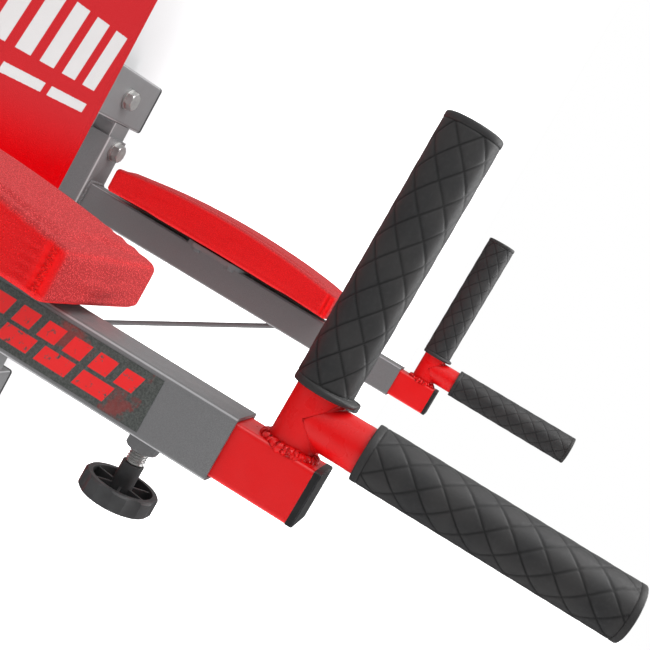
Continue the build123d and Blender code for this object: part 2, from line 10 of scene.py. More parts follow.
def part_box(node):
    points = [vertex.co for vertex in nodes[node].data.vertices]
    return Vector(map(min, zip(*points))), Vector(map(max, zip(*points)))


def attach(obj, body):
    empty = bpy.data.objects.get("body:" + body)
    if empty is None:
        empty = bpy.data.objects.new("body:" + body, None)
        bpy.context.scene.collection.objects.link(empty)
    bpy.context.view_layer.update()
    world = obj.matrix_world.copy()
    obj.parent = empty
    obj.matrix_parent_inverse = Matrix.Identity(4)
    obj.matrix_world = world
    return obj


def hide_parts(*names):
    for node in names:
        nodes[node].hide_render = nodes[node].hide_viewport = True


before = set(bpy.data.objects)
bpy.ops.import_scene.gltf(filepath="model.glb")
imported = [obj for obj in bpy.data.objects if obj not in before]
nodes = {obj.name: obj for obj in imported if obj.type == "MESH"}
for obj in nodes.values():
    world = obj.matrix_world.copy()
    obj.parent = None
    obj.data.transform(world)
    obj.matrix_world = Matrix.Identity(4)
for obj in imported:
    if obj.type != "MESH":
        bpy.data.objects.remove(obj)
scene = bpy.context.scene
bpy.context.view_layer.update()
rng = np.random.default_rng(29)
SIDES = ("left", "right")
mm = 0.001


# ---------------------------------------------------------------- materials
def srgb(r, g, b):
    """Linear colour from the 0-255 values of a display."""
    shares = (r / 255, g / 255, b / 255)
    linear = [v / 12.92 if v <= 0.04045 else ((v + 0.055) / 1.055) ** 2.4 for v in shares]
    return (*linear, 1.0)


class Finish:
    """A Principled material, with short calls for the nodes that feed it."""

    def __init__(self, name, **sockets):
        self.material = bpy.data.materials.new(name)
        self.material.use_nodes = True
        self.tree = self.material.node_tree
        self.tree.nodes.clear()
        self.shader = self.add("ShaderNodeBsdfPrincipled")
        self.output = self.add("ShaderNodeOutputMaterial")
        self.join(self.shader.outputs[0], self.output.inputs[0])
        self.place = self.add("ShaderNodeTexCoord").outputs["Object"]
        for socket, value in sockets.items():
            self.shader.inputs[socket.replace("_", " ")].default_value = value

    def add(self, kind, **settings):
        node = self.tree.nodes.new(kind)
        for key, value in settings.items():
            setattr(node, key, value)
        return node

    def join(self, source, target):
        if isinstance(source, bpy.types.NodeSocket):
            self.tree.links.new(source, target)
        else:
            target.default_value = source

    def stretched(self, scale):
        """Object coordinates with their own scale on each axis."""
        node = self.add("ShaderNodeMapping")
        node.inputs["Scale"].default_value = scale
        self.join(self.place, node.inputs["Vector"])
        return node.outputs[0]

    def noise(self, scale, detail=2.0, roughness=0.5, place=None):
        node = self.add("ShaderNodeTexNoise")
        self.join(place or self.place, node.inputs["Vector"])
        node.inputs["Scale"].default_value = scale
        node.inputs["Detail"].default_value = detail
        node.inputs["Roughness"].default_value = roughness
        return node.outputs["Fac"]

    def cells(self, scale, smooth, place=None):
        """Distance to the nearest of scattered points, smoothed."""
        node = self.add("ShaderNodeTexVoronoi", feature="SMOOTH_F1")
        self.join(place or self.place, node.inputs["Vector"])
        node.inputs["Scale"].default_value = scale
        node.inputs["Smoothness"].default_value = smooth
        return node.outputs["Distance"]

    def sum(self, kind, a, b=0.0):
        node = self.add("ShaderNodeMath", operation=kind)
        for value, target in zip((a, b), node.inputs):
            self.join(value, target)
        return node.outputs[0]

    def span(self, value, low, high, to_low=0.0, to_high=1.0, smooth=True):
        """The value's place between two levels, as a share of another range."""
        shape = "SMOOTHSTEP" if smooth else "LINEAR"
        node = self.add("ShaderNodeMapRange", interpolation_type=shape)
        for amount, target in zip((value, low, high, to_low, to_high), node.inputs):
            self.join(amount, target)
        return node.outputs[0]

    def blend(self, share, a, b):
        """Colour a where the share is 0, b where it is 1."""
        node = self.add("ShaderNodeMix", data_type="RGBA", blend_type="MIX")
        for amount, socket in ((share, 0), (a, 6), (b, 7)):
            self.join(amount, node.inputs[socket])
        return node.outputs[2]

    def normal(self):
        return self.add("ShaderNodeNewGeometry").outputs["Normal"]

    def axes(self, vector=None):
        """X, Y and Z of a vector, or of the place on the object."""
        node = self.add("ShaderNodeSeparateXYZ")
        self.join(vector or self.place, node.inputs[0])
        return node.outputs

    def rounded(self, radius):
        """The normal as if every arris were rounded."""
        node = self.add("ShaderNodeBevel", samples=4)
        node.inputs["Radius"].default_value = radius
        return node.outputs[0]

    def edges(self, radius):
        """1 on the arrises of a part, 0 on its faces."""
        product = self.add("ShaderNodeVectorMath", operation="DOT_PRODUCT")
        self.join(self.rounded(radius), product.inputs[0])
        self.join(self.normal(), product.inputs[1])
        return self.span(product.outputs["Value"], 0.99, 0.86)

    def bump(self, height, distance, strength=1.0, normal=None):
        node = self.add("ShaderNodeBump")
        node.inputs["Strength"].default_value = strength
        node.inputs["Distance"].default_value = distance
        self.join(height, node.inputs["Height"])
        if normal is not None:
            self.join(normal, node.inputs["Normal"])
        return node.outputs[0]

    def set(self, socket, source):
        self.join(source, self.shader.inputs[socket])


def arrises(f):
    """1 along the rounded corners of square stock, 0 on its flat sides."""
    x, y, z = (f.sum("ABSOLUTE", part) for part in f.axes(f.normal()))
    return f.span(f.sum("MAXIMUM", f.sum("MAXIMUM", x, y), z), 0.88, 0.76)


def powder_coat(name, colour, dark, light, gloss, rim_highlight=None):
    """Baked paint on steel: orange peel, fine speckle, thinner and lighter paint on the arrises,
    partly as a painted highlight.
    A rim, if given, is the colour of a painted highlight along the corners of square tube."""
    f = Finish(name, Roughness=gloss, Specular_IOR_Level=0.4)
    peel = f.noise(520.0, 3.0, 0.6)
    speckle = f.noise(2600.0, 2.0, 0.7)
    cloud = f.noise(9.0, 3.0, 0.5)
    shade = f.blend(f.span(speckle, 0.3, 0.72), dark, light)
    body = f.blend(f.span(cloud, 0.3, 0.7, 0.55, 0.85), shade, colour)
    # Paint rubbed thin on the sharp arrises, lighter there in patches; the lighter colour also
    # paints their highlight.
    worn = f.sum("MULTIPLY", f.edges(0.9 * mm), f.span(f.noise(160.0, 4.0, 0.7), 0.42, 0.68))
    body = f.blend(f.sum("MULTIPLY", worn, 0.55), body, light)
    if rim_highlight:
        # Painted highlight: a lighter line along the rounded corners of square tube.
        body = f.blend(f.sum("MULTIPLY", arrises(f), 0.7), body, rim_highlight)
    f.set("Base Color", body)
    f.set("Roughness", f.span(f.noise(60.0, 4.0, 0.6), 0.2, 0.8, gloss - 0.06, gloss + 0.09))
    relief = f.sum("ADD", f.sum("MULTIPLY", peel, 0.8), f.sum("MULTIPLY", speckle, 0.35))
    f.set("Normal", f.bump(relief, 0.10 * mm, 0.6, f.rounded(0.5 * mm)))
    return f.material


def leatherette(name, printed, tint, ior, gloss):
    """Pebbled artificial leather. The arm pads get a painted sheen, a paler pinkish red, on the
    faces that look up and forward, but keep their saturated red in their corner seams. The
    backrest has a printed panel."""
    f = Finish(name, IOR=ior, Specular_IOR_Level=gloss)
    pebble = f.cells(1100.0, smooth=0.35, place=swirled(f, 420.0, 1.1 * mm))
    fine = f.noise(1900.0, 3.0, 0.6)
    tone = f.noise(14.0, 4.0, 0.55)
    high = f.span(pebble, 0.14, 0.56, 1.0, 0.0)
    lighter = (*(c * 1.08 for c in tint[:3]), 1.0)
    body = f.blend(f.span(tone, 0.25, 0.75), tint, lighter)
    creases = f.sum("SUBTRACT", 1.0, high)
    grain = f.sum("ADD", high, f.sum("MULTIPLY", fine, 0.3))
    if printed:
        x, _, z = f.axes()
        panel = f.span(z, *PANEL_FADE)
        # Painted shade in the grain's valleys.
        body = f.blend(f.sum("MULTIPLY", creases, 0.45), body, srgb(140, 0, 4))
        body = f.blend(f.sum("MULTIPLY", panel, 0.9), body, srgb(164, 38, 42))
        body = f.blend(stripes(f, x, z), body, srgb(184, 182, 182))
        grain = f.sum("MULTIPLY", grain, f.span(panel, 0.0, 1.0, 1.0, 0.45, smooth=False))
    else:
        seam = f.add("ShaderNodeAttribute", attribute_name="seam").outputs["Fac"]
        open_hide = f.sum("SUBTRACT", 1.0, seam)
        _, back, up = f.axes(f.normal())
        # Painted sheen: faces that look up or forward turn a paler pinkish red, except in the
        # seams.
        sheen_facing = f.sum("MAXIMUM", up, f.sum("MULTIPLY", back, -0.85))
        painted_sheen = f.sum("MULTIPLY", f.span(sheen_facing, 0.25, 0.95), open_hide)
        # Painted shade in the grain's valleys, deepest on the faces with the painted sheen.
        valley_shade = f.sum("MULTIPLY", creases, f.span(painted_sheen, 0.0, 1.0, 0.40, 0.85))
        body = f.blend(painted_sheen, body, srgb(240, 74, 76))
        body = f.blend(valley_shade, body, srgb(150, 14, 18))
        body = f.blend(f.sum("MULTIPLY", seam, 0.9), body, srgb(246, 0, 4))
        grain = f.sum("MULTIPLY", grain, f.span(open_hide, 0.0, 1.0, 0.25, 1.0))
    f.set("Base Color", body)
    f.set("Roughness", f.span(high, 0.0, 1.0, 0.62, 0.44, smooth=False))
    f.set("Normal", f.bump(grain, 0.34 * mm, 0.9))
    return f.material


def swirled(f, scale, reach):
    """Object coordinates shaken by a noise, so that no cell has a straight side."""
    swirl = f.add("ShaderNodeTexNoise")
    f.join(f.place, swirl.inputs["Vector"])
    swirl.inputs["Scale"].default_value = scale
    warp = f.add("ShaderNodeVectorMath", operation="SCALE")
    f.join(swirl.outputs["Color"], warp.inputs[0])
    warp.inputs["Scale"].default_value = reach
    shift = f.add("ShaderNodeVectorMath", operation="ADD")
    f.join(f.place, shift.inputs[0])
    f.join(warp.outputs[0], shift.inputs[1])
    return shift.outputs[0]


def between(f, value, low, high, soft):
    """1 between two levels, with soft edges."""
    rise = f.span(value, low - soft, low + soft)
    fall = f.span(value, high - soft, high + soft, 1.0, 0.0)
    return f.sum("MULTIPLY", rise, fall)


def leaning(f, along, up, lean):
    """A coordinate that runs square to bars that lean."""
    return f.sum("SUBTRACT", along, f.sum("MULTIPLY", up, lean))


def bars(f, run, pitch, share, first, last, soft, edge):
    """Bars number first to last of a row; each takes up a share of its pitch."""
    phase = f.sum("FRACT", f.sum("DIVIDE", run, pitch))
    row = between(f, phase, 0.5 - share / 2, 0.5 + share / 2, soft)
    return f.sum("MULTIPLY", row, between(f, run, first * pitch, last * pitch, edge))


PANEL_FADE = (0.100, 0.165)        # heights between which the backrest's printed panel fades in
BAR_PITCH, BAR_LEAN = 0.041, 0.18  # its tall bars; the short ones below them are twice as long
TALL_BARS = (0.186, 0.244)         # lower and upper ends
FLAT_BARS = (0.163, 0.172)


def stripes(f, x, z):
    """Plain printed bars across the backrest's upper part."""
    edge = 0.3 * mm
    fray = f.sum("MULTIPLY", f.sum("SUBTRACT", f.noise(420.0, 4.0, 0.7), 0.5), 1.2 * mm)
    up = f.sum("ADD", z, fray)
    run = leaning(f, x, z, BAR_LEAN)
    tall = bars(f, run, BAR_PITCH, 0.62, -4, 2, 0.01, edge)
    flat = bars(f, run, 2 * BAR_PITCH, 0.86, -2, 1, 0.006, edge)
    tall = f.sum("MULTIPLY", tall, between(f, up, *TALL_BARS, edge))
    flat = f.sum("MULTIPLY", flat, between(f, up, *FLAT_BARS, edge))
    return f.sum("MAXIMUM", tall, flat)


ARM_HEIGHT = 0.075                 # centre line of the arms
LABEL_LEAN = -0.30
SHORT_PITCH, LONG_PITCH = 0.0150, 0.0225


def label_film(name):
    """Printed charcoal film with two rows of worn red bars."""
    f = Finish(name, Roughness=0.42, Specular_IOR_Level=0.5)
    _, y, z = f.axes()
    dust = f.noise(900.0, 5.0, 0.75)
    smoke = f.noise(55.0, 5.0, 0.65)
    ground = f.blend(f.span(dust, 0.35, 0.7), srgb(62, 66, 64), srgb(92, 95, 92))
    ground = f.blend(f.span(smoke, 0.56, 0.66, 0.0, 0.55), ground, srgb(150, 40, 36))
    off = f.sum("SUBTRACT", z, ARM_HEIGHT)
    upper = between(f, off, 0.6 * mm, 10.2 * mm, 0.25 * mm)
    lower = between(f, off, -10.4 * mm, -1.6 * mm, 0.25 * mm)
    run = leaning(f, y, z, LABEL_LEAN)
    short = bars(f, run, SHORT_PITCH, 0.70, -26, -10, 0.012, 0.2 * mm)
    long = bars(f, run, LONG_PITCH, 0.80, -17, -7, 0.010, 0.2 * mm)
    marks = f.sum("MAXIMUM", f.sum("MULTIPLY", upper, short), f.sum("MULTIPLY", lower, long))
    worn = f.span(f.noise(240.0, 6.0, 0.7), 0.33, 0.43)
    f.set("Base Color", f.blend(f.sum("MULTIPLY", marks, worn), ground, srgb(236, 22, 24)))
    f.set("Roughness", f.span(dust, 0.3, 0.7, 0.36, 0.52))
    f.set("Normal", f.bump(dust, 0.04 * mm, 0.4))
    return f.material


def foam_rubber(name):
    """Black moulded rubber, with painted shade darkening the quilting's grooves."""
    f = Finish(name, Specular_IOR_Level=0.45)
    groove_shade = f.add("ShaderNodeAttribute", attribute_name="groove_shade").outputs["Fac"]
    dust = f.noise(700.0, 4.0, 0.65)
    cloud = f.noise(45.0, 3.0, 0.5)
    body = f.blend(f.span(cloud, 0.3, 0.7), srgb(43, 43, 44), srgb(51, 50, 50))
    body = f.blend(f.span(dust, 0.45, 0.75, 0.0, 0.35), body, srgb(64, 64, 64))
    # Painted shade: the grooves go nearly black.
    f.set("Base Color", f.blend(groove_shade, body, srgb(6, 6, 7)))
    f.set("Roughness", f.span(dust, 0.25, 0.75, 0.46, 0.62))
    f.set("Normal", f.bump(f.noise(1700.0, 3.0, 0.6), 0.07 * mm, 0.5))
    return f.material


def moulded_plastic(name, dark, light):
    """Black plastic with a fine spark-eroded grain, polished on its arrises, where hands touch
    it, and lighter there as a painted highlight.
    """
    f = Finish(name, Specular_IOR_Level=0.5)
    grain = f.cells(1500.0, smooth=0.5)
    cloud = f.noise(80.0, 3.0, 0.5)
    body = f.blend(f.span(cloud, 0.3, 0.7), dark, light)
    rim_highlight = f.edges(0.6 * mm)
    # Painted highlight: the arrises turn a lighter grey.
    f.set("Base Color", f.blend(f.sum("MULTIPLY", rim_highlight, 0.4), body, srgb(96, 96, 97)))
    f.set("Roughness", f.span(rim_highlight, 0.0, 1.0, 0.50, 0.34, smooth=False))
    f.set("Normal", f.bump(grain, 0.06 * mm, 0.6, f.rounded(0.5 * mm)))
    return f.material


def zinc_plate(name):
    """Bright zinc on steel, with a faint frosted bloom and rubbed arrises."""
    f = Finish(name, Metallic=0.85)
    frost = f.noise(420.0, 4.0, 0.65)
    bloom = f.noise(70.0, 3.0, 0.5)
    body = f.blend(f.span(bloom, 0.3, 0.7), srgb(196, 195, 194), srgb(222, 222, 220))
    body = f.blend(f.span(frost, 0.55, 0.75, 0.0, 0.5), body, srgb(168, 166, 165))
    f.set("Base Color", body)
    f.set("Roughness", f.span(frost, 0.25, 0.75, 0.27, 0.44))
    f.set("Normal", f.bump(frost, 0.05 * mm, 0.5, f.rounded(0.4 * mm)))
    return f.material


def plywood(name):
    """Black-stained plywood: long grain on the faces, plies on the edges."""
    f = Finish(name, Specular_IOR_Level=0.35)
    grain = f.noise(90.0, 5.0, 0.65, f.stretched((1.0, 0.06, 1.0)))
    plies = f.add("ShaderNodeTexWave", wave_type="BANDS", bands_direction="Z")
    plies.inputs["Scale"].default_value = 110.0
    plies.inputs["Distortion"].default_value = 0.6
    f.join(f.place, plies.inputs["Vector"])
    stain = f.blend(f.span(grain, 0.3, 0.7), srgb(30, 27, 26), srgb(46, 42, 40))
    ply = f.sum("MULTIPLY", plies.outputs["Fac"], 0.35)
    f.set("Base Color", f.blend(ply, stain, srgb(20, 18, 17)))
    f.set("Roughness", f.span(grain, 0.3, 0.7, 0.62, 0.8))
    f.set("Normal", f.bump(grain, 0.12 * mm, 0.6))
    return f.material


def thread(name):
    """Twisted sewing thread."""
    f = Finish(name, Specular_IOR_Level=0.2)
    twist = f.noise(2400.0, 2.0, 0.5)
    f.set("Base Color", f.blend(f.span(twist, 0.3, 0.7), srgb(176, 4, 8), srgb(255, 24, 20)))
    f.set("Roughness", f.span(twist, 0.3, 0.7, 0.5, 0.7))
    f.set("Normal", f.bump(twist, 0.1 * mm, 0.7))
    return f.material


GREY_TONES = (srgb(110, 110, 111), srgb(86, 86, 87), srgb(144, 144, 145))
RED_TONES = (srgb(222, 10, 14), srgb(206, 4, 8), srgb(232, 28, 30))
grey = powder_coat("grey_coat", *GREY_TONES, 0.42)
square_grey = powder_coat("grey_coat_on_square_tube", *GREY_TONES, 0.42, srgb(190, 190, 191))
red = powder_coat("red_coat", *RED_TONES, 0.29)
square_red = powder_coat("red_coat_on_square_tube", *RED_TONES, 0.32, srgb(240, 84, 84))
pad_cover = leatherette("pad_cover", False, srgb(244, 3, 11), 1.5, 0.24)
back_cover = leatherette("back_cover", True, srgb(194, 0, 5), 1.12, 0.10)
rubber = foam_rubber("grip_rubber")
cap_plastic = moulded_plastic("cap_plastic", srgb(30, 30, 31), srgb(40, 40, 41))
wheel_plastic = moulded_plastic("wheel_plastic", srgb(54, 54, 55), srgb(66, 66, 67))
zinc = zinc_plate("zinc")
wood = plywood("board")
film = label_film("label")
stitch = thread("stitching")

FINISH = {
    grey: "*_brace *_pad_plate clamp_weld_nuts pad_screws",
    square_grey: "top_beam bottom_beam *_post *_bracket *_arm_tube",
    red: "*_upright_pipe *_forward_pipe",
    square_red: "*_insert_tube",
    cap_plastic: "beam_end_caps *_insert_cap",
    wheel_plastic: "*_knob",
    zinc: (
        "bracket_bolts bracket_washers bracket_nuts backrest_bolts backrest_tee_nuts"
        " wall_bolts wall_washers"
    ),
    wood: "backrest_board *_pad_board",
    film: "arm_decals",
}
for material, names in FINISH.items():
    for pattern in names.split():
        for node in [pattern.replace("*", s) for s in SIDES] if "*" in pattern else [pattern]:
            nodes[node].data.materials.clear()
            nodes[node].data.materials.append(material)


# ------------------------------------------------------------ mesh helpers
def piece(name, verts, faces, material, body):
    """A finished mesh piece that rides on a body."""
    mesh = bpy.data.meshes.new(name)
    mesh.from_pydata([tuple(v) for v in verts], [], faces)
    mesh.validate()
    mesh.update()
    mesh.shade_smooth()
    return mount(name, mesh, material, body)


def mount(name, mesh, material, body):
    """An object of a finished mesh, on a body and in a material slot."""
    mesh.materials.clear()
    mesh.materials.append(material)
    made = bpy.data.objects.new(name, mesh)
    scene.collection.objects.link(made)
    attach(made, body)
    return made


def ring_faces(rings, around, closed=False):
    """Quads between rings of points, each ring closed on itself."""
    faces = []
    for i in range(rings if closed else rings - 1):
        a, b = i * around, (i + 1) % rings * around
        for j in range(around):
            k = (j + 1) % around
            faces.append((a + j, a + k, b + k, b + j))
    return faces


def metres(points):
    """Points given in millimetres, as tuples in metres."""
    return [tuple(c * mm for c in point) for point in points]


def middle(low, high):
    return (low + high) / 2


def tidy_normals(mesh):
    """Turns every face outwards."""
    work = bmesh.new()
    work.from_mesh(mesh)
    bmesh.ops.recalc_face_normals(work, faces=work.faces)
    work.to_mesh(mesh)
    work.free()


def box_mm(node):
    """A node's lowest and highest corners, in millimetres."""
    low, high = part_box(node)
    return np.array(low) / mm, np.array(high) / mm


# --------------------------------------------------------------- cushions
WELD_DISTANCE = 0.02 * mm
CLOTH_FRAMES = 20
CLOTH = {
    "quality": 6,
    "mass": 0.3,
    "tension_stiffness": 15.0,
    "compression_stiffness": 15.0,
    "bending_stiffness": 1.5,
    "use_pressure": True,
    "uniform_pressure_force": 4.0,
    "vertex_group_mass": "pinned",
}


def clean_copy(node, inset):
    """The node's mesh as one closed shell, drawn in by a few millimetres."""
    work = bmesh.new()
    work.from_mesh(nodes[node].data)
    bmesh.ops.remove_doubles(work, verts=work.verts, dist=WELD_DISTANCE)
    bmesh.ops.recalc_face_normals(work, faces=work.faces)
    mesh = bpy.data.meshes.new(node + "_shell")
    work.to_mesh(mesh)
    work.free()
    low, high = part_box(node)
    centre, half = middle(low, high), (high - low) / 2
    scale = [max(0.0, (h - i * mm) / h) for h, i in zip(half, inset)]
    shrink = Matrix.Diagonal((*scale, 1.0))
    mesh.transform(Matrix.Translation(centre) @ shrink @ Matrix.Translation(-centre))
    return mesh


def baked(obj):
    """The object's mesh with its modifiers applied."""
    graph = bpy.context.evaluated_depsgraph_get()
    return bpy.data.meshes.new_from_object(obj.evaluated_get(graph), depsgraph=graph)


def points_of(mesh, what="co"):
    """The places or, with "normal", the normals of a mesh's vertices, one row each."""
    out = np.zeros(len(mesh.vertices) * 3, np.float32)
    mesh.vertices.foreach_get(what, out)
    return out.reshape(-1, 3).astype(float)


def write_points(mesh, points):
    """Moves a mesh's vertices."""
    mesh.vertices.foreach_set("co", points.astype(np.float32).ravel())
    mesh.update()


def inflate(node, inset, voxel, pinned, cap, levels):
    """Upholstery: the shell is remeshed, blown up by cloth simulation and subdivided.
    The inset is in millimetres; the voxels, and the cap on the growth, are in metres."""
    obj = bpy.data.objects.new(node + "_work", clean_copy(node, inset))
    scene.collection.objects.link(obj)
    remesh = obj.modifiers.new("remesh", "REMESH")
    remesh.mode = "VOXEL"
    remesh.voxel_size = voxel
    mesh = baked(obj)
    obj.modifiers.clear()
    obj.data = mesh
    start, normals = points_of(mesh), points_of(mesh, "normal")
    group = obj.vertex_groups.new(name=CLOTH["vertex_group_mass"])
    group.add([int(i) for i in np.nonzero(pinned(start))[0]], 1.0, "REPLACE")
    cloth = obj.modifiers.new("cloth", "CLOTH")
    for setting, value in CLOTH.items():
        setattr(cloth.settings, setting, value)
    cloth.settings.effector_weights.gravity = 0.0
    cloth.point_cache.frame_start, cloth.point_cache.frame_end = 1, CLOTH_FRAMES
    for step in range(1, CLOTH_FRAMES + 1):
        scene.frame_set(step)
    moved = points_of(baked(obj)) - start
    outward = np.clip(np.sum(moved * normals, axis=1, keepdims=True), 0.0, cap)
    write_points(mesh, start + normals * outward)
    obj.modifiers.clear()
    scene.frame_set(1)
    smooth = obj.modifiers.new("smooth", "SUBSURF")
    smooth.levels = smooth.render_levels = levels
    final = baked(obj)
    bpy.data.objects.remove(obj)
    write_points(final, drawn_over(node, points_of(final)))
    final.shade_smooth()
    return final


def tree_of(mesh):
    """The mesh, ready to be asked for its nearest point or for a ray's hit."""
    work = bmesh.new()
    work.from_mesh(mesh)
    tree = BVHTree.FromBMesh(work)
    work.free()
    return tree


def drawn_over(node, points):
    """Points that shrank inside the CAD solid go back to its skin, so the corners stay crisp."""
    tree = tree_of(clean_copy(node, (0.0, 0.0, 0.0)))
    for i, point in enumerate(points):
        spot, normal, _, _ = tree.find_nearest(point)
        if (Vector(point) - spot).dot(normal) < 0:
            points[i] = spot
    return points


def mirrored(mesh):
    """The same mesh for the other side of the object."""
    other = mesh.copy()
    other.transform(Matrix.Diagonal((-1.0, 1.0, 1.0, 1.0)))
    other.flip_normals()
    return other


def gauss(x, width):
    """1 at x = 0, falling off on both sides."""
    return np.exp(-((x / width) ** 2))


# Millimetres from the pad's front end, from its flank or from its underside.
SEAM_RUN = 6.4           # middle of a corner seam's band
SEAM_HALF = 4.2          # half its width
SEAM_SOFT = 0.4          # how fast its edges fall
SEAM_DEPTH = 1.2
FOLDS = ((1.2, 1.2, 0.40), (12.4, 1.6, 0.28))    # run, width, height of the fold each side
PUCKER_RUN, PUCKER_PITCH, PUCKER_HEIGHT = 14.5, 4.6, 0.32
GATHER_RUN, GATHER_PITCH, GATHER_HEIGHT = 22.0, 9.0, 0.40
THREAD_RADIUS, THREAD_SIDES, THREAD_SWING = 0.42, 8, 1.5
THREAD_STEPS, STITCH_STEPS = 140, 6.0            # along the whole thread, and in one swing
THREAD_FOOT, THREAD_TOP = 3.0, 13.0              # its ends, from the pad's bottom and top


def pad_seams(mesh, low, high):
    """Sews the two front corners: a sunken band on each flank, puckers running off it.
    The attribute says where the band is."""
    points, normals = points_of(mesh) / mm, points_of(mesh, "normal")
    centre, half = middle(low, high), (high - low) / 2
    move, bands = np.zeros(len(points)), np.zeros(len(points))
    tall = np.clip((points[:, 2] - low[2]) / (high[2] - low[2]), 0, 1)
    upright = np.clip(1 - np.abs(normals[:, 2]) * 1.25, 0, 1)
    run = points[:, 1] - low[1]
    for sx in (-1, 1):
        off = (points[:, 0] - centre[0]) * sx
        sewn = (off > half[0] * 0.6) * np.clip(sx * normals[:, 0] * 2.2 - 0.3, 0, 1) * upright
        wave = 0.5 * np.sin(points[:, 2] * 1.3)
        band = 1 / (1 + np.exp((np.abs(run - SEAM_RUN) - SEAM_HALF) / SEAM_SOFT))
        bands = np.maximum(bands, sewn * band)
        move -= sewn * band * SEAM_DEPTH
        move += sewn * gauss(run - SEAM_RUN - wave, 1.0) * 1.3
        for place, width, height in FOLDS:
            move += sewn * gauss(run - place, width) * height
        ripple = np.sin(points[:, 2] * 2 * math.pi / PUCKER_PITCH)
        spread = gauss(run - PUCKER_RUN, 5.0) * PUCKER_HEIGHT
        move += (off > half[0] * 0.6) * upright * ripple * spread
        gather = np.sin(points[:, 1] * 2 * math.pi / GATHER_PITCH + 1.3 * sx)
        edge = gauss(off - half[0] + 4.0, 6.0) * gauss(tall - 0.86, 0.20)
        move += edge * gather * gauss(run - GATHER_RUN, 20.0) * GATHER_HEIGHT
    points += normals * move[:, None]
    write_points(mesh, points * mm)
    seam = mesh.attributes.new("seam", "FLOAT", "POINT")
    seam.data.foreach_set("value", bands.astype(np.float32))


def seam_zigzag(tree, low, high, flip):
    """Zigzag of thick thread down the middle of each corner band."""
    verts, faces = [], []
    centre, half = middle(low, high), (high - low) / 2
    rise = high[2] - low[2] - THREAD_FOOT - THREAD_TOP
    for sx in (-1, 1):
        path = []
        for i in range(THREAD_STEPS + 1):
            z = low[2] + THREAD_FOOT + rise * i / THREAD_STEPS
            swing = abs((i / STITCH_STEPS) % 2 - 1) * 2 - 1
            y = low[1] + SEAM_RUN + THREAD_SWING * swing
            origin = Vector(((centre[0] + sx * (half[0] + 20)) * mm, y * mm, z * mm))
            hit, normal, _, _ = tree.ray_cast(origin, Vector((-sx, 0, 0)), 0.08)
            if hit is not None:
                path.append(np.array(hit) / mm + np.array(normal) * 0.2)
        grown_verts, grown_faces = tube(path, THREAD_SIDES, [THREAD_RADIUS] * len(path))
        faces += [tuple(i + len(verts) for i in face) for face in grown_faces]
        verts += grown_verts
    return metres((-x if flip else x, y, z) for x, y, z in verts), faces


def tube(path, around, radii, closed=False):
    """Tube of quads along points in millimetres, closed at its ends or on itself."""
    path = np.array(path, float)
    ahead = np.roll(path, -1, 0) - np.roll(path, 1, 0)
    if not closed:
        ahead[0], ahead[-1] = path[1] - path[0], path[-1] - path[-2]
    ahead /= np.linalg.norm(ahead, axis=1, keepdims=True)
    side = np.cross(ahead[0], (0.31, 0.17, 0.94))
    verts = []
    for point, way, size in zip(path, ahead, radii):
        side = side - way * side.dot(way)
        side /= np.linalg.norm(side)
        other = np.cross(way, side)
        for j in range(around):
            a = 2 * math.pi * j / around
            verts.append(tuple(point + size * (math.cos(a) * side + math.sin(a) * other)))
    faces = ring_faces(len(path), around, closed)
    if not closed:
        faces.append(tuple(reversed(range(around))))
        last = (len(path) - 1) * around
        faces.append(tuple(last + j for j in range(around)))
    return verts, faces


pad_low, pad_high = box_mm("left_forearm_pad")
pad_mesh = inflate(
    "left_forearm_pad", inset=(1.4, 1.4, 0.6), voxel=3.0 * mm,
    pinned=lambda p: p[:, 2] < (pad_low[2] + 2.2) * mm,
    cap=2.4 * mm, levels=2,
)
pad_seams(pad_mesh, pad_low, pad_high)
pad_tree = tree_of(pad_mesh)
for side in SIDES:
    mesh = pad_mesh if side == "left" else mirrored(pad_mesh)
    cushion = mount(side + "_arm_cushion", mesh, pad_cover, "frame")
    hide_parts(side + "_forearm_pad")
    verts, faces = seam_zigzag(pad_tree, pad_low, pad_high, side == "right")
    sewn = piece(
        side + "_cushion_stitching", verts, faces, stitch, "frame",
    )
    tidy_normals(sewn.data)

back_high = box_mm("backrest_pad")[1]
back_mesh = inflate(
    "backrest_pad", inset=(1.6, 0.8, 1.6), voxel=4.0 * mm,
    pinned=lambda p: p[:, 1] > (back_high[1] - 2.5) * mm,
    cap=3.0 * mm, levels=1,
)
backrest = mount("backrest_cushion", back_mesh, back_cover, "frame")
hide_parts("backrest_pad")


# ------------------------------------------------------------ quilted grips
GRIP_RADIUS = 15.6
PIPE_RADIUS = 12.5
QUILT_ROUND = 6          # diamonds round the grip
QUILT_RISE = 18.1        # height of a diamond
QUILT_WIDE = 2 * math.pi * GRIP_RADIUS / QUILT_ROUND
QUILT_GAP = QUILT_RISE * QUILT_WIDE / math.hypot(QUILT_RISE, QUILT_WIDE)
PILLOW_DEPTH, LINE_DEPTH, LINE_WIDTH = 0.22, 0.48, 0.34
BAND = 4.0               # plain band at each end of a grip
GRIP_WALL = 3.0          # closed end
LIP_RADIUS, LIP_OFFSET = 17.0, 2.0    # disc of the open band's lip, set to one side
SLEEVE_SIDES = 144
# How far in from the sleeve's radius the closed end is, at a distance along the last band.
NOSE = (
    (0.25, 0.25), (0.6, 0.02), (3.0, 0.02), (3.5, 0.3), (3.85, 0.9), (4.0, 1.8), (4.0, 6.0),
)


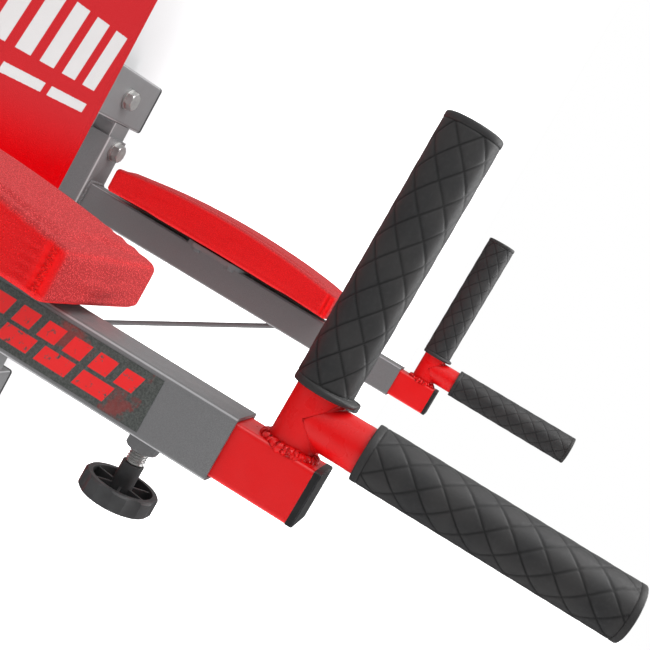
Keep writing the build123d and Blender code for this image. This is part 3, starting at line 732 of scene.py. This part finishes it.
def quilt(angle, run):
    """(how deep, how much painted shade) the sleeve is at an angle and a distance from the
    crossing row.
    """
    rise, turn = run / QUILT_RISE, angle * QUILT_ROUND / (2 * math.pi)
    a, b = rise + turn + 0.5, rise - turn - 0.5
    gap = np.minimum(np.abs(a - np.round(a)), np.abs(b - np.round(b))) * QUILT_GAP
    pillow = np.abs(np.sin(math.pi * a) * np.sin(math.pi * b)) ** 0.5
    line = gauss(gap, LINE_WIDTH)
    return PILLOW_DEPTH * (1 - pillow) + LINE_DEPTH * line, line


def lip_reach(angles):
    """How far the lip's disc stands out of the sleeve."""
    theta = angles - 1.5 * math.pi
    across = LIP_OFFSET * np.sin(theta)
    edge = LIP_OFFSET * np.cos(theta) + np.sqrt(LIP_RADIUS ** 2 - across ** 2)
    return np.maximum(0.0, edge - GRIP_RADIUS)


def grip_sleeve(name, node, place, length, crossing, body, lip):
    """Quilted sleeve, open at run 0 and closed at its length.
    place(radius, angle, run) gives a point."""
    around = SLEEVE_SIDES
    angles = np.arange(around) * 2 * math.pi / around
    rings, dark = [], []

    def ring(radius, run, shade=0.0):
        radius = np.broadcast_to(np.asarray(radius, float), (around,))
        rings.append([place(r, a, run) for r, a in zip(radius, angles)])
        dark.append(np.broadcast_to(np.asarray(shade, float), (around,)))

    ring(PIPE_RADIUS, length - GRIP_WALL)
    ring(PIPE_RADIUS, 0.3)
    ring(GRIP_RADIUS - 1.0, 0.0)
    disc = lip_reach(angles) if lip else 0.0
    for t in np.linspace(0, 1, 9):
        bulge = math.sqrt(max(0.0, 1 - (2 * t - 1) ** 2))
        grown = disc * (0.35 + 0.65 * bulge)
        ring(GRIP_RADIUS - 0.12 - 0.25 * (1 - bulge) + grown, BAND * t * 0.96)
    # Painted shade in the groove where the open band meets the quilting.
    ring(GRIP_RADIUS - 0.5, BAND, 0.8)
    rows = int(round((length - 2 * BAND) / (QUILT_RISE / 24)))
    for run in np.linspace(BAND + 0.5, length - BAND - 0.5, rows):
        depth, line = quilt(angles, run - crossing)
        ring(GRIP_RADIUS - 0.08 - depth, run, line)
    # Painted shade in the groove where the quilting meets the closed band.
    ring(GRIP_RADIUS - 0.5, length - BAND, 0.8)
    for run, inset in NOSE:
        ring(GRIP_RADIUS - inset, length - BAND + run)
    ring(2.0, length)
    faces = ring_faces(len(rings), around)
    last, tip = (len(rings) - 1) * around, len(rings) * around
    faces += [(last + j, last + (j + 1) % around, tip) for j in range(around)]
    faces += [((j + 1) % around, j, tip + 1) for j in range(around)]
    poles = [place(0.0, 0.0, length), place(0.0, 0.0, length - GRIP_WALL)]
    verts = metres([*(point for row in rings for point in row), *poles])
    made = piece(name, verts, faces, rubber, body)
    # The painted shade of the quilting's grooves, one value a point.
    groove_shade = made.data.attributes.new("groove_shade", "FLOAT", "POINT")
    groove_shade.data.foreach_set("value", np.concatenate([*dark, [0.0, 0.0]]).astype(np.float32))
    tidy_normals(made.data)
    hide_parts(node)


for side in SIDES:
    body = side + "_handle"
    axis = middle(*box_mm(side + "_upright_pipe"))
    low, high = box_mm(side + "_upright_grip")
    z_open, rise = low[2], high[2] - low[2]
    grip_sleeve(
        side + "_upright_sleeve", side + "_upright_grip",
        lambda r, a, s: (axis[0] + r * math.cos(a), axis[1] + r * math.sin(a), z_open + s),
        rise, rise - BAND, body, True,
    )
    low, high = box_mm(side + "_forward_grip")
    axis_z, y_open = middle(low[2], high[2]), high[1]
    grip_sleeve(
        side + "_forward_sleeve", side + "_forward_grip",
        lambda r, a, s: (axis[0] + r * math.cos(a), y_open - s, axis_z + r * math.sin(a)),
        high[1] - low[1], BAND, body, False,
    )


# --------------------------------------------------------------- weld beads
RING_POINTS, CORNER_POINTS = 72, 7    # along the paths that beads follow
BEAD_SIDES, LUMP_POINTS = 12, 10      # round a bead, and along one of its ripples


def bead(paths, radius, pitch, rough):
    """Lumpy weld beads along paths of (points, closed), in millimetres.
    Rough is 1 on a neat weld."""
    verts, faces = [], []
    for path, closed in paths:
        path = np.array(path, float)
        ends = np.vstack([path, path[:1]]) if closed else path
        steps = np.linalg.norm(np.diff(ends, axis=0), axis=1)
        along = np.concatenate([[0], np.cumsum(steps)])
        lumps = max(2, round(along[-1] / pitch))
        count = lumps * LUMP_POINTS
        where = np.linspace(0, along[-1], count, endpoint=not closed)
        line = np.stack([np.interp(where, along, ends[:, k]) for k in range(3)], 1)
        phase = where / along[-1] * lumps
        each = rng.uniform(-0.10, 0.12, lumps + 1) * rough
        swell = 1.10 - 0.34 * rough * (phase % 1) ** 1.6 + each[np.floor(phase).astype(int)]
        if not closed:
            swell *= np.clip(np.minimum(where, along[-1] - where) / 1.5 + 0.35, 0, 1)
        line += rng.normal(0, 0.05 * rough ** 2, line.shape)
        more, quads = tube(line, BEAD_SIDES, radius * swell, closed)
        faces += [tuple(i + len(verts) for i in quad) for quad in quads]
        verts += more
    return metres(verts), faces


def ring_path(centre, u, v, a, b):
    """Ellipse with half axes a along u and b along v."""
    turn = np.arange(RING_POINTS) * 2 * math.pi / RING_POINTS
    u, v, centre = (np.array(t, float) for t in (u, v, centre))
    return [centre + a * math.cos(t) * u + b * math.sin(t) * v for t in turn]


def rounded_square(centre, half, corner, u, v):
    """Closed path round a square tube."""
    u, v, centre = (np.array(t, float) for t in (u, v, centre))
    path = []
    for k in range(4):
        turn = k * math.pi / 2
        cx = (half - corner) * (1 if k in (0, 3) else -1)
        cy = (half - corner) * (1 if k in (0, 1) else -1)
        for i in range(CORNER_POINTS):
            a = turn + i / (CORNER_POINTS - 1) * math.pi / 2
            across, along = cx + corner * math.cos(a), cy + corner * math.sin(a)
            path.append(centre + u * across + v * along)
    return path


def weld_piece(name, node, paths, radius, pitch, material=grey, body="frame", rough=1.0):
    """Rippled weld beads in the place of a node's plain ones."""
    verts, faces = bead(paths, radius, pitch, rough)
    made = piece(name, verts, faces, material, body)
    tidy_normals(made.data)
    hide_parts(node)


X, Y, Z = np.eye(3)
arm_centres = []
for side in SIDES:
    low, high = box_mm(side + "_arm_tube")
    arm_centres.append((middle(low[0], high[0]), middle(low[2], high[2])))
    arm_low, arm_high, arm_wall_y = low[2], high[2], high[1]
ARM_HALF = (arm_high - arm_low) / 2
arm_paths = [
    (rounded_square((x, arm_wall_y - 0.6, z), ARM_HALF + 0.7, 3.4, X, Z), True)
    for x, z in arm_centres
]
weld_piece("arm_welds", "arm_weld_beads", arm_paths, 2.0, 3.6)

brace_low, brace_high = box_mm("left_brace")
BRACE_RADIUS = (brace_high[0] - brace_low[0]) / 2
BRACE_RUN = np.array([0.0, 266.2, -149.5])
BRACE_RUN /= np.linalg.norm(BRACE_RUN)
BRACE_TOP_Y, BRACE_FOOT_Z = -310.0, -92.0
BRACE_WELD = BRACE_RADIUS + 0.6
BRACE_TOP_WELD = BRACE_RADIUS / -BRACE_RUN[2] + 0.6      # the bar meets the arm at a slant
BRACE_FOOT_WELD = BRACE_RADIUS / BRACE_RUN[1] + 0.6      # and the bracket at another
brace_paths = []
for x, _ in arm_centres:
    top, foot = (x, BRACE_TOP_Y, arm_low - 0.2), (x, arm_wall_y - 0.2, BRACE_FOOT_Z)
    brace_paths.append((ring_path(top, X, Y, BRACE_WELD, BRACE_TOP_WELD), True))
    brace_paths.append((ring_path(foot, X, Z, BRACE_WELD, BRACE_FOOT_WELD), True))
weld_piece("brace_welds", "brace_weld_beads", brace_paths, 1.5, 3.0)

NUT_WELD = 8.6
nut_paths = []
for side in SIDES:
    x, y, _ = middle(*box_mm(side + "_clamp_screw"))
    nut_paths.append((ring_path((x, y, arm_low - 0.3), X, Y, NUT_WELD, NUT_WELD), True))
weld_piece("nut_welds", "nut_weld_beads", nut_paths, 1.35, 3.2)

PLATE_WELD_INSET = 11.0
plate_low, plate_high = box_mm("left_pad_plate")
plate_paths = []
for x, _ in arm_centres:
    for flank in (-1, 1):
        ends = (plate_low[1] + PLATE_WELD_INSET, plate_high[1] - PLATE_WELD_INSET)
        edge = x + flank * (ARM_HALF - 0.2)
        plate_paths.append(([(edge, y, arm_high - 0.9) for y in ends], False))
weld_piece("plate_welds", "pad_plate_welds", plate_paths, 2.0, 4.0)

POST_WELD_INSET = 3.0
post_paths = []
for side in SIDES:
    low, high = box_mm(side + "_post")
    ends = (low[1] + POST_WELD_INSET, high[1] - POST_WELD_INSET)
    for x in (low[0], high[0]):
        for z in (low[2] + 0.6, high[2] - 0.6):
            post_paths.append(([(x, y, z) for y in ends], False))
weld_piece("post_welds", "post_weld_beads", post_paths, 1.9, 4.0)

PIPE_WELD = PIPE_RADIUS + 1.3
for side in SIDES:
    top = box_mm(side + "_insert_tube")[1][2]
    x, y, _ = middle(*box_mm(side + "_upright_pipe"))
    weld_piece(
        side + "_pipe_weld", side + "_pipe_weld_bead",
        [(ring_path((x, y, top + 0.5), X, Y, PIPE_WELD, PIPE_WELD), True)],
        2.5, 3.1, red, side + "_handle", 1.7,
    )


# ------------------------------------------------------- filled crease at the T
FILLET_REACH = 2.4       # at the top and the bottom; it runs out towards the two flanks
FILLET_SECTIONS, FILLET_STEPS = 120, 6


def tee_fillet(cx, cy, cz):
    """Concave strip of weld and paint along the crease of two equal pipes that cross at a right
    angle. Both pipes are ruled surfaces, so each section runs from one ruling to the other."""
    verts = []
    for i in range(FILLET_SECTIONS):
        t = 2 * math.pi * i / FILLET_SECTIONS
        up, out = math.sin(t), abs(math.sin(t))
        crease = np.array((cx, cy, cz)) + PIPE_RADIUS * np.array((math.cos(t), -out, up))
        outward = np.array((2 * math.cos(t), -out, up))
        share = max(0.0, (out - 0.6) / 0.4)
        size = 0.04 + FILLET_REACH * share
        sunk = 0.25 * max(0.0, 1.0 - share / 0.15)
        on_upright = crease + Z * math.copysign(size, up)
        on_forward = crease - Y * size
        section = []
        for k in range(FILLET_STEPS + 1):
            u = k / FILLET_STEPS
            arc = (1 - u) ** 2 * on_upright + 2 * u * (1 - u) * crease + u ** 2 * on_forward
            section.append(arc)
        section.append(crease - outward * 0.3)
        verts += [point - outward * sunk for point in section]
    return metres(verts), ring_faces(FILLET_SECTIONS, FILLET_STEPS + 2, True)


for side in SIDES:
    x, y, _ = middle(*box_mm(side + "_upright_pipe"))
    z = middle(*box_mm(side + "_forward_pipe"))[2]
    verts, faces = tee_fillet(x, y, z)
    saddle = piece(side + "_tee_fillet", verts, faces, red, side + "_handle")
    tidy_normals(saddle.data)
    saddle.data.set_sharp_from_angle(angle=math.radians(50.0))


# ------------------------------------------------------------ clamp screws
SCREW_SIDES = 48
SCREW_PITCH, SCREW_CREST, SCREW_CUT = 1.5, 4.98, 0.92
SHANK_RADIUS = 3.8


def screw_mesh(cx, cy, low, high, shank_top):
    """M10 screw: helical thread above a plain shank, closed at both ends."""
    angles = np.arange(SCREW_SIDES) * 2 * math.pi / SCREW_SIDES
    rings = [(3.0, low), (SHANK_RADIUS, low + 0.5), (SHANK_RADIUS, shank_top)]
    for z in np.arange(shank_top + 0.05, high - 0.05, SCREW_PITCH / 12):
        fade = np.clip(min(z - shank_top, high - z) / 1.0, 0.0, 1.0)
        saw = np.abs(((z / SCREW_PITCH - angles / (2 * math.pi)) % 1) * 2 - 1)
        cut = SCREW_CUT * np.clip(saw * 1.15 - 0.08, 0, 1)
        rings.append((SCREW_CREST - cut - (1 - fade) * 0.6, z))
    rings.append((2.8, high))
    verts = []
    for radius, z in rings:
        radius = np.broadcast_to(radius, (SCREW_SIDES,))
        verts += [
            (cx + r * math.cos(a), cy + r * math.sin(a), z) for r, a in zip(radius, angles)
        ]
    faces = ring_faces(len(rings), SCREW_SIDES)
    faces.append(tuple(reversed(range(SCREW_SIDES))))
    faces.append(tuple((len(rings) - 1) * SCREW_SIDES + j for j in range(SCREW_SIDES)))
    return metres(verts), faces


for side in SIDES:
    low, high = box_mm(side + "_clamp_screw")
    x, y, _ = middle(low, high)
    knob_high = box_mm(side + "_knob")[1][2]
    verts, faces = screw_mesh(x, y, low[2], high[2], knob_high + 0.3)
    screw = piece(side + "_threaded_screw", verts, faces, zinc, side + "_clamp")
    tidy_normals(screw.data)
    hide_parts(side + "_clamp_screw")


# ------------------------------------------------------------------- stage
FLOOR_Z, WALL_Y, WALL_TOP, REACH = -1.25, 0.0006, 4.0, 6.0
PAINT, SHADED_PAINT = srgb(246, 246, 247), srgb(196, 196, 197)
SHADE_HALF_WIDTH, SHADE_HALF_HEIGHT = 0.33, 0.26     # the frame's outline on the wall
SHADE_FADE = (0.02, 0.60)                            # distances from it


def plane(name, corners, material):
    """One square of the room, left out of the part."""
    mesh = bpy.data.meshes.new(name)
    mesh.from_pydata(corners, [], [(0, 1, 2, 3)])
    mesh.materials.append(material)
    made = bpy.data.objects.new(name, mesh)
    scene.collection.objects.link(made)
    return made


def pale_paint(name):
    """White studio paint, bright enough to run into the white background."""
    f = Finish(name, Roughness=0.85, Specular_IOR_Level=0.1, Emission_Strength=1.0)
    f.shader.inputs["Base Color"].default_value = PAINT
    f.shader.inputs["Emission Color"].default_value = (1.0, 1.0, 1.0, 1.0)
    f.set("Normal", f.bump(f.noise(40.0, 3.0), 0.2 * mm, 0.2))
    return f


def past(f, value, limit):
    """How far a coordinate is past a limit on either side, squared."""
    over = f.sum("MAXIMUM", f.sum("SUBTRACT", f.sum("ABSOLUTE", value), limit), 0.0)
    return f.sum("MULTIPLY", over, over)


def wall_paint(name):
    """The same paint with a soft shade round the frame; it can't be seen from behind."""
    f = pale_paint(name)
    x, _, z = f.axes()
    squared = f.sum("ADD", past(f, x, SHADE_HALF_WIDTH), past(f, z, SHADE_HALF_HEIGHT))
    shade = f.span(f.sum("SQRT", squared), *SHADE_FADE)
    f.set("Base Color", f.blend(shade, SHADED_PAINT, PAINT))
    f.set("Emission Strength", shade)
    clear = f.add("ShaderNodeBsdfTransparent")
    pick = f.add("ShaderNodeMixShader")
    f.join(f.add("ShaderNodeNewGeometry").outputs["Backfacing"], pick.inputs[0])
    f.join(f.shader.outputs[0], pick.inputs[1])
    f.join(clear.outputs[0], pick.inputs[2])
    f.join(pick.outputs[0], f.output.inputs[0])
    return f


floor = plane(
    "studio_floor",
    [(x * REACH, y * REACH, FLOOR_Z) for x, y in ((-1, -1), (1, -1), (1, 1), (-1, 1))],
    pale_paint("floor_paint").material,
)
wall = plane(
    "studio_wall",
    [
        (-REACH, WALL_Y, FLOOR_Z), (REACH, WALL_Y, FLOOR_Z),
        (REACH, WALL_Y, WALL_TOP), (-REACH, WALL_Y, WALL_TOP),
    ],
    wall_paint("wall_paint").material,
)
wall.visible_diffuse = wall.visible_glossy = wall.visible_shadow = False
floor.visible_glossy = False


def softbox(name, place, aim, size, power):
    """Rectangular studio light."""
    light = bpy.data.lights.new(name, "AREA")
    light.shape, light.size, light.size_y, light.energy = "RECTANGLE", size[0], size[1], power
    lamp = bpy.data.objects.new(name, light)
    scene.collection.objects.link(lamp)
    lamp.location = place
    lamp.rotation_mode = "QUATERNION"
    lamp.rotation_quaternion = (Vector(aim) - Vector(place)).to_track_quat("-Z", "Y")


softbox("key", (-0.3, -1.5, 2.2), (0.0, -0.25, 0.0), (2.2, 1.6), 46.0)
softbox("fill", (1.2, -2.6, 0.7), (0.0, -0.2, 0.0), (1.6, 1.6), 42.0)

# The sky is brighter overhead than below for what it lights, and plain white to the camera.
SKY_RANGE = (-0.15, 0.85, 0.05, 0.85)      # lowest and highest heading, and their strengths
world = bpy.data.worlds.new("studio")
world.use_nodes = True
sky = world.node_tree.nodes["Background"]
sky.inputs["Color"].default_value = (1.0, 1.0, 1.0, 1.0)


def world_node(kind, **settings):
    """A node of the sky's tree."""
    node = world.node_tree.nodes.new(kind)
    for key, value in settings.items():
        setattr(node, key, value)
    return node


wire = world.node_tree.links.new
heading = world_node("ShaderNodeSeparateXYZ")
wire(world_node("ShaderNodeTexCoord").outputs["Generated"], heading.inputs[0])
glow = world_node("ShaderNodeMapRange", interpolation_type="SMOOTHSTEP")
for amount, target in zip(SKY_RANGE, glow.inputs[1:5]):
    target.default_value = amount
wire(heading.outputs["Z"], glow.inputs[0])
seen = world_node("ShaderNodeMix", data_type="FLOAT")
wire(world_node("ShaderNodeLightPath").outputs["Is Camera Ray"], seen.inputs[0])
wire(glow.outputs[0], seen.inputs[2])
seen.inputs[3].default_value = 1.0
wire(seen.outputs[0], sky.inputs["Strength"])
scene.world = world
scene.view_settings.view_transform = "Standard"
scene.view_settings.look = "None"

# ------------------------------------------------------------------ camera
EYE = Vector((-0.79895, -0.55474, 0.19559))
YAW, PITCH = 0.1006, 0.1237                # of the line of sight, from +X and downwards
ROLL = 0.0072 + math.radians(30.0)         # the picture itself is tilted by 30 degrees
LENS, SENSOR, SHIFT = 55.68, 36.0, (-0.0708, 0.0949)
ahead = Vector((
    math.cos(PITCH) * math.cos(YAW), math.cos(PITCH) * math.sin(YAW), -math.sin(PITCH),
))
level = Vector((math.sin(YAW), -math.cos(YAW), 0.0))
above = level.cross(ahead)
right = math.cos(ROLL) * level + math.sin(ROLL) * above
up = math.cos(ROLL) * above - math.sin(ROLL) * level
camera = bpy.data.objects.new("camera", bpy.data.cameras.new("camera"))
scene.collection.objects.link(camera)
turn = Matrix((right, up, -ahead)).transposed().to_4x4()
camera.matrix_world = Matrix.Translation(EYE) @ turn
camera.data.lens, camera.data.sensor_width = LENS, SENSOR
camera.data.shift_x, camera.data.shift_y = SHIFT
camera.data.clip_start = 0.01
scene.camera = camera
